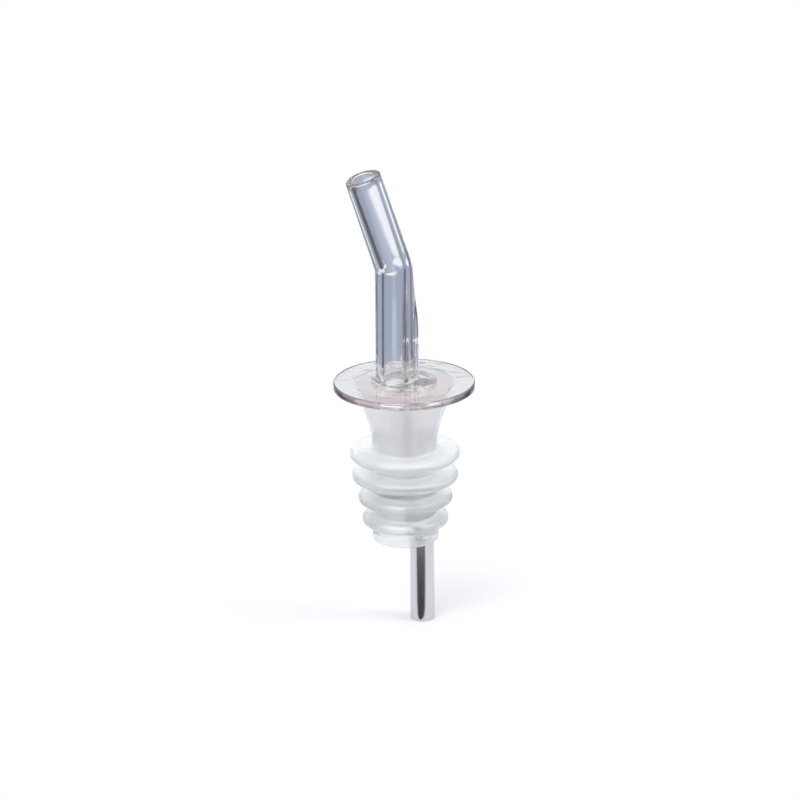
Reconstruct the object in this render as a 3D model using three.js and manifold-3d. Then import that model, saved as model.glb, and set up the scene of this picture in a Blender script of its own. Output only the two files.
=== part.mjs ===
// A liquor pour spout: a clear bent spout on a two-channel shank, a round collar, a finned stopper
// and a steel breather tube, each its own solid.
//
// Millimetres. +Z runs up the stopper's axis, and the origin is where that axis crosses the plane of
// the collar's seat, which rests on the bottle's lip. The spout leans towards -X, the air vent and
// the breather tube are on the +X side, and everything is mirrored across the XZ plane.

import * as THREE from "three";
import { mergeVertices } from "three/addons/utils/BufferGeometryUtils.js";
import Module from "manifold-3d";

const wasm = await Module();
wasm.setup();

// Driving dimensions

const SIDES = 48; // facets round the stopper, the collar and the shank
const TUBE_SIDES = 32; // facets round the spout and the breather tube
const ARC_STEPS = 3; // half the number of chords in each rounded edge

const SEAT_Z = 0;
const RUNNING_GAP = 0.1; // radial clearance wherever one piece turns or slides in another
const FACE_GAP = 0.05; // clearance between faces that rest on each other

const collar = { radius: 15.5, thickness: 1.7, edge: 0.35, recessRadius: 10.9, recessDepth: 0.4 };

const shank = {
  ringRadius: 6.5, // the round hub and the grip rings, which the stopper's bore fits over
  ringThickness: 1.1,
  ringZ: [-9.5, -17.2, -24.8], // the middle of each grip ring
  hubBottomZ: -2.6,
  pourX: -2.4, // the pour tube at its lower end
  pourRadius: 3.15,
  bottomZ: -33,
};

const spout = {
  x: -2.05, // the pour channel stands off the stopper's axis to make room for the vent
  baseRadius: 4.2,
  bendRadius: 4.05,
  mouthRadius: 3.9,
  bendZ: 27.7,
  upperLength: 21.8,
  lean: THREE.MathUtils.degToRad(18), // of the upper length, from +Z towards -X
};

const pourBore = { shankRadius: 2.45, bendRadius: 2.25, mouthRadius: 2.45 };

const foot = { radius: 7.2, height: 0.5, edge: 0.25 }; // the shoulder that the collar is held under

const vent = {
  tubeX: 3.75, // the vent's lower tube and the breather tube
  tubeRadius: 2.7,
  shoulderZ: -25.5, // where the tube narrows to the nipple
  nippleRadius: 2.25,
  nippleBottomZ: -31.5,
  ribX: 1.85, // the rib up the back of the spout
  ribRadius: 1.45,
  ribTopZ: 15.1, // full height of the rib, above which it slopes into the spout
  lowerRadius: 1.1,
  upperRadius: 0.8,
  topZ: 10.4, // the middle of the outlet, which opens through the rib towards +X
};

const breather = { outerRadius: 2.7, innerRadius: 2.3, bottomZ: -54.6, deburr: 0.1 };

const stopper = {
  flangeRadius: 10.6,
  flangeBottomZ: -0.9,
  flarePull: [
    [7.35, -8.2],
    [9.2, -4.4],
  ], // the curve of the bell mouth, between the neck and the flange
  neckRadius: 7.1,
  neckZ: -12.3,
  finZ: [-15, -20, -25.1, -30.1],
  finRadius: [12.1, 11.65, 10.4, 9.5],
  finEdge: 0.95, // radius of each fin's rounded edge
  finRootHalf: 1.35, // half a fin's thickness where it meets the sleeve
  tipRadius: 7.3,
  tipTopZ: -33,
  tipEdge: 0.45,
  bottomZ: -34.85,
};

const boreRadius = shank.ringRadius + RUNNING_GAP;
const bend = new THREE.Vector3(spout.x, 0, spout.bendZ);
const leanDirection = new THREE.Vector3(-Math.sin(spout.lean), 0, Math.cos(spout.lean));
const mouth = bend.clone().addScaledVector(leanDirection, spout.upperLength);
const shankEnd = new THREE.Vector3(shank.pourX, 0, shank.bottomZ);

// Shapes

// A closed outline of radius and height, turned about +Z.
function turned(outline, sides) {
  const points = outline.getPoints(ARC_STEPS);
  return new THREE.LatheGeometry([...points, points[0]], sides).rotateX(Math.PI / 2);
}

// A round bar from one point to another, tapering from one radius to the other.
function bar(from, to, fromRadius, toRadius, sides = TUBE_SIDES) {
  const along = to.clone().sub(from);
  const turn = new THREE.Quaternion().setFromUnitVectors(
    new THREE.Vector3(0, 1, 0),
    along.clone().normalize(),
  );
  const middle = from.clone().add(to).multiplyScalar(0.5);
  return new THREE.CylinderGeometry(toRadius, fromRadius, along.length(), sides)
    .applyQuaternion(turn)
    .translate(middle.x, middle.y, middle.z);
}

function upright(x, bottomZ, topZ, bottomRadius, topRadius = bottomRadius, sides = TUBE_SIDES) {
  const at = (z) => new THREE.Vector3(x, 0, z);
  return bar(at(bottomZ), at(topZ), bottomRadius, topRadius, sides);
}

function ball(centre, radius) {
  return new THREE.SphereGeometry(radius, TUBE_SIDES, TUBE_SIDES / 2)
    .rotateX(Math.PI / 2)
    .translate(centre.x, centre.y, centre.z);
}

function solid(geometry) {
  const bare = geometry.clone().deleteAttribute("normal").deleteAttribute("uv");
  const merged = mergeVertices(bare, 1e-4);
  return new wasm.Manifold(
    new wasm.Mesh({
      numProp: 3,
      vertProperties: merged.attributes.position.array,
      triVerts: new Uint32Array(merged.index.array),
    }),
  );
}

function joined(geometries) {
  return geometries.map(solid).reduce((all, next) => all.add(next));
}

function geometryOf(manifold) {
  const mesh = manifold.getMesh();
  const geometry = new THREE.BufferGeometry()
    .setAttribute("position", new THREE.BufferAttribute(mesh.vertProperties, 3))
    .setIndex(new THREE.BufferAttribute(mesh.triVerts, 1));
  geometry.computeVertexNormals();
  return geometry;
}

// The spout: one clear moulding, from the mouth down to the shank's two channels

function footGeometry() {
  const bottomZ = collar.thickness + FACE_GAP;
  const topZ = bottomZ + foot.height;
  const outline = new THREE.Path()
    .moveTo(0, bottomZ)
    .lineTo(foot.radius, bottomZ)
    .lineTo(foot.radius, topZ - foot.edge)
    .absarc(foot.radius - foot.edge, topZ - foot.edge, foot.edge, 0, Math.PI / 2)
    .lineTo(0, topZ);
  return turned(outline, SIDES);
}

function spoutOutside() {
  const buried = collar.thickness; // where the upright lengths start, inside the foot
  const ribTop = new THREE.Vector3(vent.ribX, 0, vent.ribTopZ);
  const wallX = spout.x + spout.bendRadius - vent.ribRadius;
  const ribEnd = new THREE.Vector3(wallX - RUNNING_GAP, 0, spout.bendZ);
  return joined([
    footGeometry(),
    upright(spout.x, buried, spout.bendZ, spout.baseRadius, spout.bendRadius),
    ball(bend, spout.bendRadius),
    bar(bend, mouth, spout.bendRadius, spout.mouthRadius),
    upright(vent.ribX, buried, vent.ribTopZ, vent.ribRadius),
    ball(ribTop, vent.ribRadius),
    bar(ribTop, ribEnd, vent.ribRadius, vent.ribRadius),
  ]);
}

function shankOutside() {
  const topZ = collar.thickness + foot.height / 2; // inside the foot
  const half = shank.ringThickness / 2;
  return joined([
    upright(0, shank.hubBottomZ, topZ, shank.ringRadius, shank.ringRadius, SIDES),
    bar(shankEnd, new THREE.Vector3(spout.x, 0, topZ), shank.pourRadius, shank.pourRadius),
    upright(vent.tubeX, vent.shoulderZ, shank.hubBottomZ + half, vent.tubeRadius),
    upright(vent.tubeX, vent.nippleBottomZ, vent.shoulderZ + half, vent.nippleRadius),
    ...shank.ringZ.map((z) =>
      upright(0, z - half, z + half, shank.ringRadius, shank.ringRadius, SIDES),
    ),
  ]);
}

function channels() {
  const past = 1; // how far each cutter runs out of the material
  const beyondMouth = mouth.clone().addScaledVector(leanDirection, past);
  const belowShank = shankEnd.clone().setZ(shank.bottomZ - past);
  const belowNipple = new THREE.Vector3(vent.tubeX, 0, vent.nippleBottomZ - past);
  const outlet = new THREE.Vector3(vent.ribX, 0, vent.topZ);
  const outletEnd = new THREE.Vector3(vent.ribX + vent.ribRadius + past, 0, vent.topZ);
  return joined([
    bar(belowShank, bend, pourBore.shankRadius, pourBore.bendRadius),
    ball(bend, pourBore.bendRadius),
    bar(bend, beyondMouth, pourBore.bendRadius, pourBore.mouthRadius),
    bar(belowNipple, outlet, vent.lowerRadius, vent.upperRadius),
    ball(outlet, vent.upperRadius),
    bar(outlet, outletEnd, vent.upperRadius, vent.upperRadius),
  ]);
}

function spoutGeometry() {
  return geometryOf(spoutOutside().add(shankOutside()).subtract(channels()));
}

// The collar: a disc with a softened rim, and a recess below that the stopper's flange sits in

function collarGeometry() {
  const { edge } = collar;
  const topZ = SEAT_Z + collar.thickness;
  const recessTopZ = SEAT_Z + collar.recessDepth;
  const outline = new THREE.Path()
    .moveTo(boreRadius, recessTopZ)
    .lineTo(collar.recessRadius, recessTopZ)
    .lineTo(collar.recessRadius, SEAT_Z)
    .lineTo(collar.radius - edge, SEAT_Z)
    .absarc(collar.radius - edge, SEAT_Z + edge, edge, -Math.PI / 2, 0)
    .absarc(collar.radius - edge, topZ - edge, edge, 0, Math.PI / 2)
    .lineTo(boreRadius, topZ);
  return turned(outline, SIDES);
}

// The stopper: a sleeve with a bell-mouthed flange and flexible fins that grip the bottle's neck

function stopperGeometry() {
  const topZ = SEAT_Z + collar.recessDepth - FACE_GAP;
  const { neckRadius, finEdge, finRootHalf, tipRadius, tipTopZ, tipEdge, bottomZ } = stopper;
  const outline = new THREE.Path()
    .moveTo(boreRadius, bottomZ)
    .lineTo(tipRadius - tipEdge, bottomZ)
    .absarc(tipRadius - tipEdge, bottomZ + tipEdge, tipEdge, -Math.PI / 2, 0)
    .absarc(tipRadius - tipEdge, tipTopZ - tipEdge, tipEdge, 0, Math.PI / 2)
    .lineTo(neckRadius, tipTopZ + finRootHalf - finEdge);
  for (let i = stopper.finZ.length - 1; i >= 0; i--) {
    const z = stopper.finZ[i];
    const edgeX = stopper.finRadius[i] - finEdge;
    outline
      .lineTo(neckRadius, z - finRootHalf)
      .lineTo(edgeX, z - finEdge)
      .absarc(edgeX, z, finEdge, -Math.PI / 2, Math.PI / 2)
      .lineTo(neckRadius, z + finRootHalf);
  }
  outline
    .lineTo(neckRadius, stopper.neckZ)
    .bezierCurveTo(...stopper.flarePull.flat(), stopper.flangeRadius - 0.2, stopper.flangeBottomZ)
    .lineTo(stopper.flangeRadius, stopper.flangeBottomZ + 0.3)
    .lineTo(stopper.flangeRadius, topZ)
    .lineTo(boreRadius, topZ);
  return turned(outline, SIDES);
}

// The breather tube, about its own axis

function breatherGeometry() {
  const { outerRadius, innerRadius, bottomZ, deburr } = breather;
  const topZ = vent.shoulderZ - FACE_GAP;
  const outline = new THREE.Path()
    .moveTo(innerRadius + deburr, bottomZ)
    .lineTo(outerRadius - deburr, bottomZ)
    .lineTo(outerRadius, bottomZ + deburr)
    .lineTo(outerRadius, topZ)
    .lineTo(innerRadius, topZ)
    .lineTo(innerRadius, bottomZ + deburr);
  return turned(outline, TUBE_SIDES);
}

// Materials

const clearPlastic = new THREE.MeshStandardMaterial({
  color: 0xe6e3e6,
  roughness: 0.08,
  metalness: 0,
  transparent: true,
  opacity: 0.4,
});
const collarPlastic = clearPlastic.clone();
const naturalPlastic = new THREE.MeshStandardMaterial({
  color: 0xdfe4e4,
  roughness: 0.45,
  metalness: 0,
});
const steel = new THREE.MeshStandardMaterial({ color: 0xc9cacf, roughness: 0.15, metalness: 1 });

// Assembly

function piece(name, geometry, material, x = 0) {
  const mesh = new THREE.Mesh(geometry, material);
  mesh.name = name;
  mesh.position.x = x;
  return mesh;
}

const pourSpout = new THREE.Group();
pourSpout.add(
  piece("spout_body", spoutGeometry(), clearPlastic),
  piece("collar", collarGeometry(), collarPlastic),
  piece("stopper", stopperGeometry(), naturalPlastic),
  piece("breather_tube", breatherGeometry(), steel, vent.tubeX),
);

export default pourSpout;
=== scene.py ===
import math

import bmesh
import bpy
import numpy as np
from mathutils import Matrix, Vector


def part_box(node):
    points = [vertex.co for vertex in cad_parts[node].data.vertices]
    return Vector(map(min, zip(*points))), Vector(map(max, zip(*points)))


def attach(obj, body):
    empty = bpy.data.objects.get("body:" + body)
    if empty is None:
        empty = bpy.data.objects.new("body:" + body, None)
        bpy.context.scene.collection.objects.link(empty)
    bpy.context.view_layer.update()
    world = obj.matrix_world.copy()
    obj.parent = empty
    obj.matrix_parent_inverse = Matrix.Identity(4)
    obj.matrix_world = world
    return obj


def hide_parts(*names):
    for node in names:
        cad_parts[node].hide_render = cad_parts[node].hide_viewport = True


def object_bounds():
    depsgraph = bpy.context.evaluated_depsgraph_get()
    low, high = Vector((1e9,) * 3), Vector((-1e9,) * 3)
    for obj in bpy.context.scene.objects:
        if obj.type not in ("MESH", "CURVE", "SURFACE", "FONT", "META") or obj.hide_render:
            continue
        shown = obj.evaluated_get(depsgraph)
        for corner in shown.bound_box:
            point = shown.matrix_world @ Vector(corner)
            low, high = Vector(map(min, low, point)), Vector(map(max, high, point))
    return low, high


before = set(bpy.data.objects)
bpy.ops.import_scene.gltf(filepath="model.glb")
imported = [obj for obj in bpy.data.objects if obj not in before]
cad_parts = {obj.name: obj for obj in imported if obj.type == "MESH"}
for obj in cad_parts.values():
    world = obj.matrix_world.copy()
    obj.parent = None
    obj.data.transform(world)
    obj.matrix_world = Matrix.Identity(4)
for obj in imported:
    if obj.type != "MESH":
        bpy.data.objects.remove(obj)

# Shapes are built in millimetres in the row frame and scaled to metres when each piece is done.
MM = 0.001
CAD_BOX = [list(corner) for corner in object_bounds()]


def box_mm(node):
    low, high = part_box(node)
    return low / MM, high / MM


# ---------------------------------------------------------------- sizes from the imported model

_, collar_high = box_mm("collar")
stopper_low, stopper_high = box_mm("stopper")
spout_low, _ = box_mm("spout_body")
breather_low, breather_high = box_mm("breather_tube")

# collar: the disc, its bore and the recess under it
COLLAR_R, COLLAR_T, COLLAR_EDGE = collar_high.x, collar_high.z, 0.35
BORE_R = 6.6
RECESS_R, RECESS_D = 10.9, 0.4
CHAMFER, BORE_CHAMFER = 0.1, 0.12

# spout above the collar: outside radii from the foot to the mouth, the bend and the mouth's rim
SPOUT_X = -2.05
BASE_R, BEND_R, MOUTH_R = 4.2, 4.05, 3.9
BEND_Z = 27.7
OUTSIDE_TURN_R, BORE_TURN_R = 4.6, 2.8
UPPER_LENGTH = 21.8
LEAN = math.radians(18)
RIM_EDGE, BORE_LIP = 0.32, 0.3

# foot on the collar, hub in the collar's bore and grip rings on the shank
FOOT_R, FOOT_TOP, FOOT_BOTTOM = 7.2, COLLAR_T + 0.55, COLLAR_T + 0.05
FOOT_EDGE, FOOT_LOW_EDGE, FOOT_FILLET = 0.25, 0.06, 0.45
HUB_R, HUB_BOTTOM = 6.5, -2.6
RING_Z, RING_T, RING_EDGE = (-9.5, -17.2, -24.8), 1.1, 0.3

# shank: the pour column and its bore, the vent column, the web between them and the nipple
POUR_X, POUR_R, SHANK_BOTTOM = -2.4, 3.15, spout_low.z
BORE_SHANK_R, BORE_BEND_R, BORE_MOUTH_R = 2.45, 2.25, 2.45
BORE_FLARE_R, BORE_FLARE_Z = BORE_SHANK_R + 0.25, 0.4
VENT_X = (breather_low.x + breather_high.x) / 2
VENT_R = (breather_high.x - breather_low.x) / 2
WEB_LOW_X, WEB_HIGH_X, WEB_HALF = -0.2, 2.3, 0.9
NIPPLE_R, NIPPLE_TAPER, NIPPLE_EDGE = 2.25, 0.1, 0.35
NIPPLE_BOTTOM, SHOULDER_Z = -31.5, breather_high.z + 0.05

# vent rib up the spout's back, its bore and its outlet
RIB_X, RIB_R, RIB_TOP = 1.85, 1.45, 15.1
RIB_BLEND, RIB_EASE, RIB_SINK = 0.55, 0.36, 0.1
RIB_SPREAD = 32
VENT_LOW_R, VENT_TOP_R, VENT_TOP_Z = 1.1, 0.8, 10.4
VENT_SIDES, OUTLET_Z = 48, VENT_TOP_Z - 0.02

# stopper: flange, flared neck, fins and tip
STOP_TOP, STOP_BOTTOM = stopper_high.z, stopper_low.z
FLANGE_R, NECK_R, TIP_R = 10.6, 7.1, 7.3
TIP_TOP, NECK_FOOT, NECK_TOP = -33.0, -32.7, -12.3
FIN_Z = (-15.0, -20.0, -25.1, -30.1)
FIN_R = (stopper_high.x, 11.65, 10.4, 9.5)
FIN_EDGE, FIN_SLOPE, FIN_ROUND, FIN_FILLET = 0.95, 0.35, 0.9, 0.45
FLARE_STEPS = 24

# breather tube, whose outside is the vent column's
TUBE_IN_R = 2.3

# how finely round things are divided, and the angle above which an edge stays sharp
COLLAR_SIDES, STOPPER_SIDES, BREATHER_SIDES = 256, 224, 128
COLUMN_SIDES, RING_SIDES = 96, 128
SHARP_ANGLE = math.radians(38)
# points this close are the same point, and come from booleans
SAME_POINT = 0.0001


# ---------------------------------------------------------------- mesh helpers

def arc(centre, radius, start, end, steps):
    """Points of (radius, height) on an arc between two angles in degrees."""
    angles = np.radians(np.linspace(start, end, steps))
    return [(centre[0] + radius * math.cos(a), centre[1] + radius * math.sin(a)) for a in angles]


def quarter(steps, first=0):
    """Angles from 0 to a right angle in even steps, in radians."""
    return [math.radians(90 * k / steps) for k in range(first, steps + 1)]


def circle(x, radius, z, sides):
    """Points round a level circle about the vertical axis at x."""
    angles = np.arange(sides) * 2 * math.pi / sides
    return [(x + radius * math.cos(a), radius * math.sin(a), z) for a in angles]


def rounded(corners, steps):
    """A closed outline of (radius, height, fillet) corners, with each corner filleted."""
    points = []
    count = len(corners)
    for i in range(count):
        here = Vector(corners[i][:2])
        fillet = corners[i][2]
        before = Vector(corners[i - 1][:2]) - here
        after = Vector(corners[(i + 1) % count][:2]) - here
        if fillet <= 0:
            points.append(tuple(here))
            continue
        half = before.angle(after) / 2
        reach = min(fillet / math.tan(half), before.length * 0.49, after.length * 0.49)
        radius = reach * math.tan(half)
        a, b = before.normalized(), after.normalized()
        centre = here + (a + b).normalized() * (radius / math.sin(half))
        start, end = here + a * reach - centre, here + b * reach - centre
        turn = start.angle_signed(end)
        for k in range(steps + 1):
            c, s = math.cos(-turn * k / steps), math.sin(-turn * k / steps)
            points.append((centre.x + start.x * c - start.y * s, centre.y + start.x * s + start.y * c))
    return points


def new_object(name, verts, faces):
    mesh = bpy.data.meshes.new(name)
    mesh.from_pydata([tuple(v) for v in verts], [], faces)
    mesh.validate()
    mesh.update()
    thing = bpy.data.objects.new(name, mesh)
    bpy.context.scene.collection.objects.link(thing)
    return thing


def outward(thing):
    """Turns every face of a closed mesh outwards."""
    bm = bmesh.new()
    bm.from_mesh(thing.data)
    bmesh.ops.recalc_face_normals(bm, faces=bm.faces)
    if bm.calc_volume(signed=True) < 0:
        bmesh.ops.reverse_faces(bm, faces=bm.faces)
    bm.to_mesh(thing.data)
    bm.free()
    return thing


def loft(name, rings):
    """A closed solid through rings of points, with flat ends."""
    rings = np.array(rings, float)
    count, sides = rings.shape[:2]
    faces = [
        (i * sides + j, i * sides + (j + 1) % sides, (i + 1) * sides + (j + 1) % sides, (i + 1) * sides + j)
        for i in range(count - 1)
        for j in range(sides)
    ]
    faces.append(tuple(range(sides))[::-1])
    faces.append(tuple((count - 1) * sides + j for j in range(sides)))
    return outward(new_object(name, rings.reshape(-1, 3), faces))


def turned(name, outline, sides, x=0.0):
    """A closed outline of (radius, height), turned about a vertical axis at x."""
    count = len(outline)
    verts = [point for r, z in outline for point in circle(x, r, z, sides)]
    faces = [
        (i * sides + j, i * sides + (j + 1) % sides,
         (i + 1) % count * sides + (j + 1) % sides, (i + 1) % count * sides + j)
        for i in range(count)
        for j in range(sides)
    ]
    return outward(new_object(name, verts, faces))


def disc_solid(name, outline, sides):
    """A solid of revolution from an open outline of (radius, height), closed by flat ends."""
    return loft(name, [circle(0.0, r, z, sides) for r, z in outline])


def bar(name, start, end, r0, r1, sides):
    """A round bar between two points, with a radius at each end."""
    start, end = Vector(start), Vector(end)
    along = (end - start).normalized()
    side = Vector((0, 1, 0))
    up = along.cross(side).normalized()
    angles = np.arange(sides) * 2 * math.pi / sides
    rings = []
    for centre, r in ((start, r0), (end, r1)):
        rings.append([centre + side * (r * math.cos(a)) + up * (r * math.sin(a)) for a in angles])
    return loft(name, rings)


def apply_modifiers(thing):
    bpy.context.view_layer.update()
    depsgraph = bpy.context.evaluated_depsgraph_get()
    evaluated = thing.evaluated_get(depsgraph)
    done = bpy.data.meshes.new_from_object(evaluated, preserve_all_data_layers=True, depsgraph=depsgraph)
    thing.modifiers.clear()
    old = thing.data
    thing.data = done
    bpy.data.meshes.remove(old)


def combine(base, other, operation):
    """Adds the other solid to the base or cuts it away, and removes it."""
    modifier = base.modifiers.new(operation, "BOOLEAN")
    modifier.operation = operation
    modifier.solver = "EXACT"
    modifier.object = other
    apply_modifiers(base)
    bpy.data.objects.remove(other)


def cleaned(thing):
    """Takes away the faces with no area and the loose edges that booleans leave.

    Known fault: it leaves a doubled face across the pour column under the lowest grip ring.
    """
    bm = bmesh.new()
    bm.from_mesh(thing.data)
    bmesh.ops.remove_doubles(bm, verts=bm.verts, dist=SAME_POINT)
    bmesh.ops.dissolve_degenerate(bm, edges=bm.edges, dist=SAME_POINT)
    loose = [edge for edge in bm.edges if not edge.link_faces]
    bmesh.ops.delete(bm, geom=loose, context="EDGES")
    bm.to_mesh(thing.data)
    bm.free()
    return thing


def finish_piece(thing, name, body, node, material):
    """Scales a piece to metres, gives it its material and normals, and hands it to the frame."""
    thing.data.transform(Matrix.Scale(MM, 4))
    thing.data.materials.clear()
    thing.data.materials.append(material)
    for polygon in thing.data.polygons:
        polygon.material_index = 0
        polygon.use_smooth = True
    thing.data.set_sharp_from_angle(angle=SHARP_ANGLE)
    normals = thing.modifiers.new("normals", "WEIGHTED_NORMAL")
    normals.keep_sharp = True
    apply_modifiers(thing)
    thing.name = name
    thing.data.name = name
    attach(thing, body)
    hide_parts(node)


# ---------------------------------------------------------------- spout body

def smooth_min(a, b, k):
    """The smaller of two values, blended where they differ by less than k."""
    h = np.clip(0.5 + 0.5 * (b - a) / k, 0, 1)
    return b + (a - b) * h - k * h * (1 - h)


def section_angles():
    """Angles round the pour channel's axis, close together over the vent rib at 0."""
    near = np.linspace(-RIB_SPREAD, RIB_SPREAD, 57)[:-1]
    far = np.linspace(RIB_SPREAD, 360 - RIB_SPREAD, 89)[:-1]
    return np.radians(np.concatenate([near, far]))


THETA = section_angles()


def section_radius(tube_r, rib_d, grow):
    """Distance from the pour channel's axis to the outside, for each angle, with a filleted rib."""
    low = np.full_like(THETA, tube_r * 0.8)
    high = np.full_like(THETA, max(tube_r, rib_d + RIB_R) + grow + 1.0)
    for _ in range(40):
        mid = (low + high) / 2
        x, y = mid * np.cos(THETA), mid * np.sin(THETA)
        tube = np.hypot(x, y) - tube_r
        rib = np.hypot(x - rib_d, y) - RIB_R
        inside = smooth_min(tube, rib, RIB_BLEND) < grow
        low = np.where(inside, mid, low)
        high = np.where(inside, high, mid)
    return (low + high) / 2


def path_at(s, turn_radius):
    """Centre and sideways direction on the bent pour axis, at s above the corner of its bend."""
    reach = turn_radius * math.tan(LEAN / 2)
    corner = Vector((SPOUT_X, 0, BEND_Z))
    upper = Vector((-math.sin(LEAN), 0, math.cos(LEAN)))
    if s <= -reach:
        return corner + Vector((0, 0, s)), Vector((1, 0, 0))
    if s >= reach:
        return corner + upper * s, Vector((math.cos(LEAN), 0, math.sin(LEAN)))
    turned_by = LEAN * (s + reach) / (2 * reach)
    side = Vector((math.cos(turned_by), 0, math.sin(turned_by)))
    centre = corner + Vector((-turn_radius, 0, -reach))
    return centre + side * turn_radius, side


def swept_ring(s, radii, turn_radius):
    """A ring across the bent pour axis, with one radius for each angle or one for all."""
    centre, side = path_at(s, turn_radius)
    radii = np.broadcast_to(radii, THETA.shape)
    return [
        centre + side * (r * math.cos(t)) + Vector((0, r * math.sin(t), 0))
        for r, t in zip(radii, THETA)
    ]


def rib_distance(z):
    """How far the rib's axis stands from the pour axis. Above RIB_TOP it sinks into the tube."""
    full = RIB_X - SPOUT_X
    slope = (full - (BEND_R - RIB_R - RIB_SINK)) / (BEND_Z - RIB_TOP)
    drop = full - slope * (z - RIB_TOP)
    return float(smooth_min(np.array(full), np.array(drop), RIB_EASE))


def foot_ring(radius, z):
    """A level circle about the part's axis, with its points on rays from the pour channel's axis."""
    ring = []
    for t in THETA:
        c, s = math.cos(t), math.sin(t)
        b = SPOUT_X * c
        reach = -b + math.sqrt(b * b - SPOUT_X ** 2 + radius ** 2)
        ring.append(Vector((SPOUT_X + reach * c, reach * s, z)))
    return ring


def spout_outside():
    """The hub, foot, tube and vent rib, lofted from the hub's underside to the mouth's rim."""
    outline = arc((HUB_R - FOOT_EDGE, HUB_BOTTOM + FOOT_EDGE), FOOT_EDGE, -90, 0, 5)
    outline += [(HUB_R, FOOT_BOTTOM - 0.01), (HUB_R + 0.02, FOOT_BOTTOM)]
    outline += arc((FOOT_R - FOOT_LOW_EDGE, FOOT_BOTTOM + FOOT_LOW_EDGE), FOOT_LOW_EDGE, -90, 0, 3)
    outline += arc((FOOT_R - FOOT_EDGE, FOOT_TOP - FOOT_EDGE), FOOT_EDGE, 0, 90, 7)
    rings = [foot_ring(r, z) for r, z in outline]
    for angle in quarter(8):
        z = FOOT_TOP + FOOT_FILLET * (1 - math.cos(angle))
        grow = FOOT_FILLET * (1 - math.sin(angle))
        rings.append(swept_ring(z - BEND_Z, section_radius(BASE_R, rib_distance(z), grow), OUTSIDE_TURN_R))
    straight = np.concatenate([
        np.linspace(FOOT_TOP + FOOT_FILLET, RIB_TOP - 2, 8)[1:],
        np.linspace(RIB_TOP - 2, RIB_TOP + 2, 9)[1:],
        np.linspace(RIB_TOP + 2, BEND_Z - 1.2, 16)[1:],
    ])
    for z in straight:
        tube_r = BASE_R + (BEND_R - BASE_R) * (z - COLLAR_T) / (BEND_Z - COLLAR_T)
        rings.append(swept_ring(z - BEND_Z, section_radius(tube_r, rib_distance(z), 0), OUTSIDE_TURN_R))
    for s in np.linspace(-1.0, 1.0, 13):
        rings.append(swept_ring(s, section_radius(BEND_R, rib_distance(BEND_Z + s), 0), OUTSIDE_TURN_R))
    for s in np.linspace(1.2, UPPER_LENGTH - RIM_EDGE, 16):
        tube_r = BEND_R + (MOUTH_R - BEND_R) * s / UPPER_LENGTH
        rings.append(swept_ring(s, tube_r, OUTSIDE_TURN_R))
    for angle in quarter(6, first=1):
        r = MOUTH_R - RIM_EDGE * (1 - math.cos(angle))
        s = UPPER_LENGTH - RIM_EDGE * (1 - math.sin(angle))
        rings.append(swept_ring(s, r, OUTSIDE_TURN_R))
    return loft("outside", rings)


def column(name, x0, x1, z0, z1, r0, r1, edge=0.2):
    """A column of the shank from its rounded lower end at x0, z0 and r0 up to x1, z1 and r1."""
    rings = []
    for angle in quarter(4):
        r = r0 - edge * (1 - math.sin(angle))
        rings.append(circle(x0, r, z0 + edge * (1 - math.cos(angle)), COLUMN_SIDES))
    rings.append(circle(x1, r1, z1, COLUMN_SIDES))
    return loft(name, rings)


def pour_bore():
    """The pour channel, from below the shank's flared end to above the mouth's rounded lip."""
    rings = []
    flare_top = SHANK_BOTTOM + BORE_FLARE_Z
    for z, r in ((SHANK_BOTTOM - 1, BORE_FLARE_R), (SHANK_BOTTOM, BORE_FLARE_R), (flare_top, BORE_SHANK_R)):
        centre = Vector((POUR_X, 0, z))
        rings.append([centre + Vector((r * math.cos(t), r * math.sin(t), 0)) for t in THETA])
    for k in range(1, 15):
        z = flare_top + (BEND_Z - 1 - SHANK_BOTTOM - BORE_FLARE_Z) * k / 14
        share = (z - SHANK_BOTTOM) / (BEND_Z - SHANK_BOTTOM)
        x = POUR_X + (SPOUT_X - POUR_X) * min(1.0, share * 1.05)
        r = BORE_SHANK_R + (BORE_BEND_R - BORE_SHANK_R) * share
        rings.append([Vector((x + r * math.cos(t), r * math.sin(t), z)) for t in THETA])
    for s in np.linspace(-0.5, 0.5, 7):
        rings.append(swept_ring(s, BORE_BEND_R, BORE_TURN_R))
    for s in np.linspace(1.0, UPPER_LENGTH - BORE_LIP, 12):
        r = BORE_BEND_R + (BORE_MOUTH_R - BORE_BEND_R) * s / UPPER_LENGTH
        rings.append(swept_ring(s, r, BORE_TURN_R))
    for angle in quarter(6, first=1):
        r = BORE_MOUTH_R + BORE_LIP * (1 - math.cos(angle))
        s = UPPER_LENGTH - BORE_LIP * (1 - math.sin(angle))
        rings.append(swept_ring(s, r, BORE_TURN_R))
    rings.append(swept_ring(UPPER_LENGTH + 1, BORE_MOUTH_R + BORE_LIP, BORE_TURN_R))
    return loft("bore", rings)


def vent_bore():
    """The air channel, from below the nipple up the rib and out of the rib's back."""
    bottom, top = (VENT_X, 0, NIPPLE_BOTTOM - 1), (RIB_X, 0, VENT_TOP_Z)
    vent = bar("vent_bore", bottom, top, VENT_LOW_R, VENT_TOP_R, VENT_SIDES)
    inner, outer = (RIB_X - 0.45, 0, OUTLET_Z), (RIB_X + RIB_R + 1.0, 0, OUTLET_Z)
    combine(vent, bar("elbow", inner, outer, VENT_TOP_R, VENT_TOP_R + 0.12, VENT_SIDES), "UNION")
    return vent


def shank_web():
    """Joins the pour and vent columns, whose walls all but touch, so that their union has no slivers."""
    corners = (
        (WEB_LOW_X, -WEB_HALF),
        (WEB_HIGH_X, -WEB_HALF),
        (WEB_HIGH_X, WEB_HALF),
        (WEB_LOW_X, WEB_HALF),
    )
    heights = (SHOULDER_Z + 0.3, HUB_BOTTOM + 1.1)
    return loft("web", [[(x, y, z) for x, y in corners] for z in heights])


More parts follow.
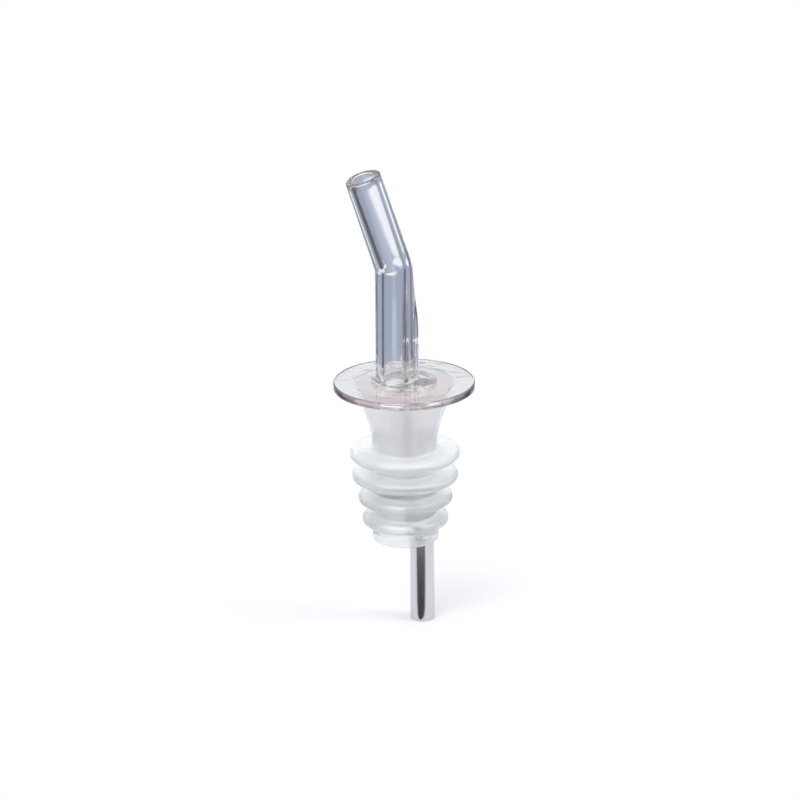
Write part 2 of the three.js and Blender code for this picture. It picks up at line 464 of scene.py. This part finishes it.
def grip_ring(z):
    low, high = z - RING_T / 2 + RING_EDGE, z + RING_T / 2 - RING_EDGE
    outline = arc((HUB_R - RING_EDGE, low), RING_EDGE, -90, 0, 5)
    outline += arc((HUB_R - RING_EDGE, high), RING_EDGE, 0, 90, 5)
    return disc_solid("ring", outline, RING_SIDES)


def spout_piece():
    body = spout_outside()
    inside_hub = HUB_BOTTOM + 1.0
    parts = [
        column("pour", POUR_X, SPOUT_X, SHANK_BOTTOM, inside_hub, POUR_R, POUR_R),
        column("vent", VENT_X, VENT_X, SHOULDER_Z, inside_hub + 0.2, VENT_R, VENT_R),
        shank_web(),
        column("nipple", VENT_X, VENT_X, NIPPLE_BOTTOM, SHOULDER_Z + 0.5,
               NIPPLE_R - NIPPLE_TAPER, NIPPLE_R, NIPPLE_EDGE),
    ]
    for part in parts + [grip_ring(z) for z in RING_Z]:
        combine(body, part, "UNION")
    combine(body, pour_bore(), "DIFFERENCE")
    combine(body, vent_bore(), "DIFFERENCE")
    return cleaned(body)


# ---------------------------------------------------------------- the other pieces

def collar_piece():
    outline = [
        (BORE_R + CHAMFER, RECESS_D),
        (RECESS_R - CHAMFER, RECESS_D),
        (RECESS_R, RECESS_D - CHAMFER),
        (RECESS_R, CHAMFER),
        (RECESS_R + CHAMFER, 0),
    ]
    outline += arc((COLLAR_R - COLLAR_EDGE, COLLAR_EDGE), COLLAR_EDGE, -90, 0, 8)
    outline += arc((COLLAR_R - COLLAR_EDGE, COLLAR_T - COLLAR_EDGE), COLLAR_EDGE, 0, 90, 8)
    outline += [
        (BORE_R + BORE_CHAMFER, COLLAR_T),
        (BORE_R, COLLAR_T - BORE_CHAMFER),
        (BORE_R, RECESS_D + CHAMFER),
    ]
    return turned("collar", outline, COLLAR_SIDES)


def flare(share):
    """A point of the neck's flare up to the flange, as (radius, height), from 0 at its foot to 1."""
    pull = [(NECK_R, NECK_TOP), (7.35, -8.2), (9.2, -4.4), (FLANGE_R - 0.2, -0.9)]
    rest = 1 - share
    weights = (rest ** 3, 3 * share * rest ** 2, 3 * share * share * rest, share ** 3)
    return tuple(sum(w * point[axis] for w, point in zip(weights, pull)) for axis in (0, 1))


def stopper_piece():
    corners = [
        (BORE_R, STOP_BOTTOM, 0.25),
        (TIP_R, STOP_BOTTOM, 1.0),
        (TIP_R, TIP_TOP, 0.35),
        (NECK_R, NECK_FOOT, 0.2),
    ]
    for z, r in zip(reversed(FIN_Z), reversed(FIN_R)):
        corners += [
            (NECK_R, z - FIN_EDGE - FIN_SLOPE, FIN_FILLET),
            (r, z - FIN_EDGE, FIN_ROUND),
            (r, z + FIN_EDGE, FIN_ROUND),
            (NECK_R, z + FIN_EDGE + FIN_SLOPE, FIN_FILLET),
        ]
    corners += [(*flare(k / FLARE_STEPS), 0) for k in range(FLARE_STEPS + 1)]
    corners += [(FLANGE_R, STOP_TOP - 0.9, 0.1), (FLANGE_R, STOP_TOP, 0.2), (BORE_R, STOP_TOP, 0.25)]
    return turned("stopper", rounded(corners, 7), STOPPER_SIDES)


def breather_piece():
    bottom, top = breather_low.z, breather_high.z
    corners = [(TUBE_IN_R, bottom, 0.12), (VENT_R, bottom, 0.14), (VENT_R, top, 0.1), (TUBE_IN_R, top, 0.1)]
    return turned("breather", rounded(corners, 5), BREATHER_SIDES, x=VENT_X)


# ---------------------------------------------------------------- materials

def new_material(name):
    """A material with its node tree and its Principled shader."""
    material = bpy.data.materials.new(name)
    material.use_nodes = True
    tree = material.node_tree
    shader = tree.nodes["Principled BSDF"]
    return material, tree, shader


def ramp(nodes, stops, mode="EASE"):
    """A colour ramp through stops of (position, colour)."""
    node = nodes.new("ShaderNodeValToRGB")
    node.color_ramp.interpolation = mode
    elements = node.color_ramp.elements
    while len(elements) > 1:
        elements.remove(elements[-1])
    elements[0].position = stops[0][0]
    elements[0].color = (*stops[0][1], 1)
    for position, colour in stops[1:]:
        elements.new(position).color = (*colour, 1)
    return node


def let_lamps_through(tree, shader, colour):
    """Lets a lamp's light pass straight through, tinted, as the real plastic does."""
    nodes, links = tree.nodes, tree.links
    ray = nodes.new("ShaderNodeLightPath")
    open_way = nodes.new("ShaderNodeBsdfTransparent")
    open_way.inputs["Color"].default_value = (*colour, 1)
    mix = nodes.new("ShaderNodeMixShader")
    links.new(ray.outputs["Is Shadow Ray"], mix.inputs["Fac"])
    links.new(shader.outputs["BSDF"], mix.inputs[1])
    links.new(open_way.outputs["BSDF"], mix.inputs[2])
    links.new(mix.outputs["Shader"], nodes["Material Output"].inputs["Surface"])


def noise(tree, scale, detail, stretch=(1, 1, 1)):
    """Noise in the piece's own coordinates, stretched along an axis where its factor is small."""
    nodes, links = tree.nodes, tree.links
    place = nodes.new("ShaderNodeTexCoord")
    mapping = nodes.new("ShaderNodeMapping")
    mapping.inputs["Scale"].default_value = stretch
    links.new(place.outputs["Object"], mapping.inputs["Vector"])
    texture = nodes.new("ShaderNodeTexNoise")
    texture.inputs["Scale"].default_value = scale
    texture.inputs["Detail"].default_value = detail
    links.new(mapping.outputs["Vector"], texture.inputs["Vector"])
    return texture.outputs["Fac"]


def remapped(tree, value, low=0.0, high=1.0, start=0.0, end=1.0):
    """Maps a value that runs from start to end onto low to high."""
    node = tree.nodes.new("ShaderNodeMapRange")
    node.inputs["From Min"].default_value = start
    node.inputs["From Max"].default_value = end
    node.inputs["To Min"].default_value = low
    node.inputs["To Max"].default_value = high
    tree.links.new(value, node.inputs["Value"])
    return node.outputs["Result"]


def bumped(tree, shader, height, distance):
    node = tree.nodes.new("ShaderNodeBump")
    node.inputs["Strength"].default_value = 1.0
    node.inputs["Distance"].default_value = distance
    tree.links.new(height, node.inputs["Height"])
    tree.links.new(node.outputs["Normal"], shader.inputs["Normal"])


def clear_plastic(name, tint, absorb, density):
    """Clear moulded plastic with a slight haze and waviness, which tints light over its depth."""
    material, tree, shader = new_material(name)
    nodes, links = tree.nodes, tree.links
    let_lamps_through(tree, shader, (0.95, 0.93, 0.94))
    shader.inputs["Base Color"].default_value = (*tint, 1)
    shader.inputs["Transmission Weight"].default_value = 1
    shader.inputs["IOR"].default_value = 1.5
    haze = noise(tree, 300, 4)
    links.new(remapped(tree, haze, 0.012, 0.05), shader.inputs["Roughness"])
    bumped(tree, shader, noise(tree, 130, 2, (1, 1, 0.35)), 0.06 * MM)
    volume = nodes.new("ShaderNodeVolumeAbsorption")
    volume.inputs["Color"].default_value = (*absorb, 1)
    volume.inputs["Density"].default_value = density
    links.new(volume.outputs["Volume"], nodes["Material Output"].inputs["Volume"])
    return material


def milky_plastic():
    """Milky plastic with faint clouds, and a pink cast on the front of the flange's top face."""
    material, tree, shader = new_material("natural_polyethylene")
    nodes, links = tree.nodes, tree.links
    cloud = noise(tree, 260, 5)
    body = ramp(nodes, [(0.35, (0.94, 0.955, 0.955)), (0.65, (0.975, 0.985, 0.985))])
    links.new(cloud, body.inputs["Fac"])
    place = nodes.new("ShaderNodeTexCoord")
    split = nodes.new("ShaderNodeSeparateXYZ")
    links.new(place.outputs["Object"], split.inputs["Vector"])
    cast = nodes.new("ShaderNodeMath")
    cast.operation = "MULTIPLY"
    links.new(remapped(tree, split.outputs["Z"], start=-1.2 * MM, end=-0.4 * MM), cast.inputs[0])
    links.new(remapped(tree, split.outputs["Y"], start=3 * MM, end=-4 * MM), cast.inputs[1])
    colour = nodes.new("ShaderNodeMix")
    colour.data_type = "RGBA"
    colour.inputs["B"].default_value = (0.98, 0.85, 0.86, 1)
    links.new(cast.outputs["Value"], colour.inputs["Factor"])
    links.new(body.outputs["Color"], colour.inputs["A"])
    links.new(colour.outputs["Result"], shader.inputs["Base Color"])
    links.new(remapped(tree, cloud, 0.19, 0.29), shader.inputs["Roughness"])
    bumped(tree, shader, noise(tree, 700, 3), 0.05 * MM)
    shader.inputs["Transmission Weight"].default_value = 0.7
    shader.inputs["IOR"].default_value = 1.45
    let_lamps_through(tree, shader, (0.67, 0.68, 0.68))
    return material


def steel():
    """Drawn tube, with fine lines along its length."""
    material, tree, shader = new_material("drawn_steel")
    nodes, links = tree.nodes, tree.links
    lines = noise(tree, 2500, 3, (1, 1, 0.01))
    tone = ramp(nodes, [(0.3, (0.6, 0.6, 0.62)), (0.7, (0.68, 0.68, 0.7))])
    links.new(lines, tone.inputs["Fac"])
    links.new(tone.outputs["Color"], shader.inputs["Base Color"])
    shader.inputs["Metallic"].default_value = 1
    links.new(remapped(tree, lines, 0.2, 0.28), shader.inputs["Roughness"])
    bumped(tree, shader, lines, 0.004 * MM)
    return material


# ---------------------------------------------------------------- camera

AZIMUTH, ELEVATION, ROLL = math.radians(-18.0), math.radians(19.3), math.radians(-0.65)
DISTANCE = 0.8
VIEW_WIDTH = 0.1746
SENSOR_WIDTH = 36
AIM_RIGHT, AIM_UP = -0.94, -2.64

back = Vector((
    math.sin(AZIMUTH) * math.cos(ELEVATION),
    -math.cos(AZIMUTH) * math.cos(ELEVATION),
    math.sin(ELEVATION),
))
right = Vector((math.cos(AZIMUTH), math.sin(AZIMUTH), 0))
up = back.cross(right)
aim = (right * AIM_RIGHT + up * AIM_UP) * MM
facing = Matrix.Rotation(ROLL, 3, back) @ Matrix((right, up, back)).transposed()
camera_data = bpy.data.cameras.new("camera")
camera_data.sensor_width = SENSOR_WIDTH
camera_data.lens = SENSOR_WIDTH / VIEW_WIDTH * DISTANCE
camera = bpy.data.objects.new("camera", camera_data)
camera.matrix_world = Matrix.Translation(aim + back * DISTANCE) @ facing.to_4x4()
bpy.context.scene.collection.objects.link(camera)
bpy.context.scene.camera = camera

bpy.context.scene.view_settings.view_transform = "Standard"
# light has to get through the many walls of clear plastic
bpy.context.scene.cycles.max_bounces = 32
bpy.context.scene.cycles.glossy_bounces = 24
bpy.context.scene.cycles.transmission_bounces = 24

# ---------------------------------------------------------------- the pieces

clear = clear_plastic("clear_plastic", (0.98, 0.98, 0.985), (0.33, 0.2, 0.13), 16)
clear_disc = clear_plastic("clear_disc", (0.83, 0.84, 0.835), (0.6, 0.42, 0.44), 45)

finish_piece(spout_piece(), "pour_spout", "spout", "spout_body", clear)
finish_piece(collar_piece(), "collar_disc", "collar", "collar", clear_disc)
finish_piece(stopper_piece(), "finned_stopper", "stopper", "stopper", milky_plastic())
finish_piece(breather_piece(), "air_tube", "breather", "breather_tube", steel())

# ---------------------------------------------------------------- stage: floor, lamps and room

AWAY = Vector((-back.x, -back.y, 0)).normalized()
LEFT = Vector((-AWAY.y, AWAY.x, 0))
FLOOR_Z = CAD_BOX[0][2]
FLOOR_HALF_WIDTH, FLOOR_FRONT, FLOOR_BEHIND = 0.065, -0.25, 0.172
FLOOR_TONE = (0.9, 0.9, 0.9)
CARD_START, CARD_END = 125, 211
CARD_LENGTH, CARD_LIFT = 0.075, 0.0004
CARD_TONE = (0.03, 0.03, 0.035)
# pale above and behind, blue-grey below, dark towards the camera
ROOM_GRADE = [
    (-1, (0.1, 0.1, 0.12)),
    (0.1, (0.12, 0.125, 0.15)),
    (0.3, (0.38, 0.43, 0.54)),
    (0.465, (0.43, 0.49, 0.62)),
    (0.49, (1.1, 1.14, 1.18)),
    (1, (0.8, 0.8, 0.82)),
]


def towards(degrees):
    """A level direction: 0 is straight away from the camera and 90 is to its left."""
    angle = math.radians(degrees)
    return AWAY * math.cos(angle) + LEFT * math.sin(angle)


def matt_sheet(name, corners, tone):
    """A flat matt sheet of the stage, from its corners in order."""
    thing = new_object(name, corners, [tuple(range(len(corners)))])
    material, _, shader = new_material(name)
    shader.inputs["Base Color"].default_value = (*tone, 1)
    shader.inputs["Roughness"].default_value = 0.9
    thing.data.materials.append(material)
    return thing


def softbox(name, location, size, power):
    """A soft lamp that points at the object."""
    light = bpy.data.lights.new(name, "AREA")
    light.shape = "RECTANGLE"
    light.size, light.size_y = size
    light.energy = power
    thing = bpy.data.objects.new(name, light)
    thing.location = location
    thing.rotation_mode = "QUATERNION"
    thing.rotation_quaternion = (-Vector(location)).to_track_quat("-Z", "Y")
    bpy.context.scene.collection.objects.link(thing)


def graded_room(towards_light, stops):
    """A room graded along one direction, from -1 away from the light to 1. The camera sees it white."""
    world = bpy.data.worlds.new("studio")
    world.use_nodes = True
    nodes, links = world.node_tree.nodes, world.node_tree.links
    way = nodes.new("ShaderNodeTexCoord")
    along = nodes.new("ShaderNodeVectorMath")
    along.operation = "DOT_PRODUCT"
    along.inputs[1].default_value = towards_light
    links.new(way.outputs["Generated"], along.inputs[0])
    share = nodes.new("ShaderNodeMapRange")
    share.inputs["From Min"].default_value = -1
    links.new(along.outputs["Value"], share.inputs["Value"])
    grade = ramp(nodes, [(0.5 + height / 2, colour) for height, colour in stops], "LINEAR")
    links.new(share.outputs["Result"], grade.inputs["Fac"])
    seen = nodes.new("ShaderNodeLightPath")
    shade = nodes.new("ShaderNodeMix")
    shade.data_type = "RGBA"
    shade.inputs["B"].default_value = (1, 1, 1, 1)
    links.new(grade.outputs["Color"], shade.inputs["A"])
    links.new(seen.outputs["Is Camera Ray"], shade.inputs["Factor"])
    links.new(shade.outputs["Result"], nodes["Background"].inputs["Color"])
    return world


# a strip of pale floor that runs away from the camera
below = Vector((0, 0, FLOOR_Z))
matt_sheet("floor", [
    below + AWAY * FLOOR_FRONT + LEFT * FLOOR_HALF_WIDTH,
    below + AWAY * FLOOR_FRONT - LEFT * FLOOR_HALF_WIDTH,
    below + AWAY * FLOOR_BEHIND - LEFT * FLOOR_HALF_WIDTH,
    below + AWAY * FLOOR_BEHIND + LEFT * FLOOR_HALF_WIDTH,
], FLOOR_TONE)

# a small dark card on the floor in front of the steel tube, which shows only in mirrors and glass
apex = Vector((VENT_X * MM, 0, FLOOR_Z + CARD_LIFT)) + towards((CARD_START + CARD_END) / 2) * VENT_R * MM
dark_card = matt_sheet("dark_card", [
    apex,
    apex + towards(CARD_START) * CARD_LENGTH,
    apex + towards(CARD_END) * CARD_LENGTH,
], CARD_TONE)
dark_card.visible_camera = False
dark_card.visible_diffuse = False
dark_card.visible_shadow = False

softbox("key", location=(-0.6, -0.5, 0.9), size=(1.0, 1.0), power=9.5)
softbox("fill", location=(0.7, -0.4, 0.6), size=(0.5, 0.7), power=3.5)
bpy.context.scene.world = graded_room((AWAY + Vector((0, 0, 1))).normalized(), ROOM_GRADE)
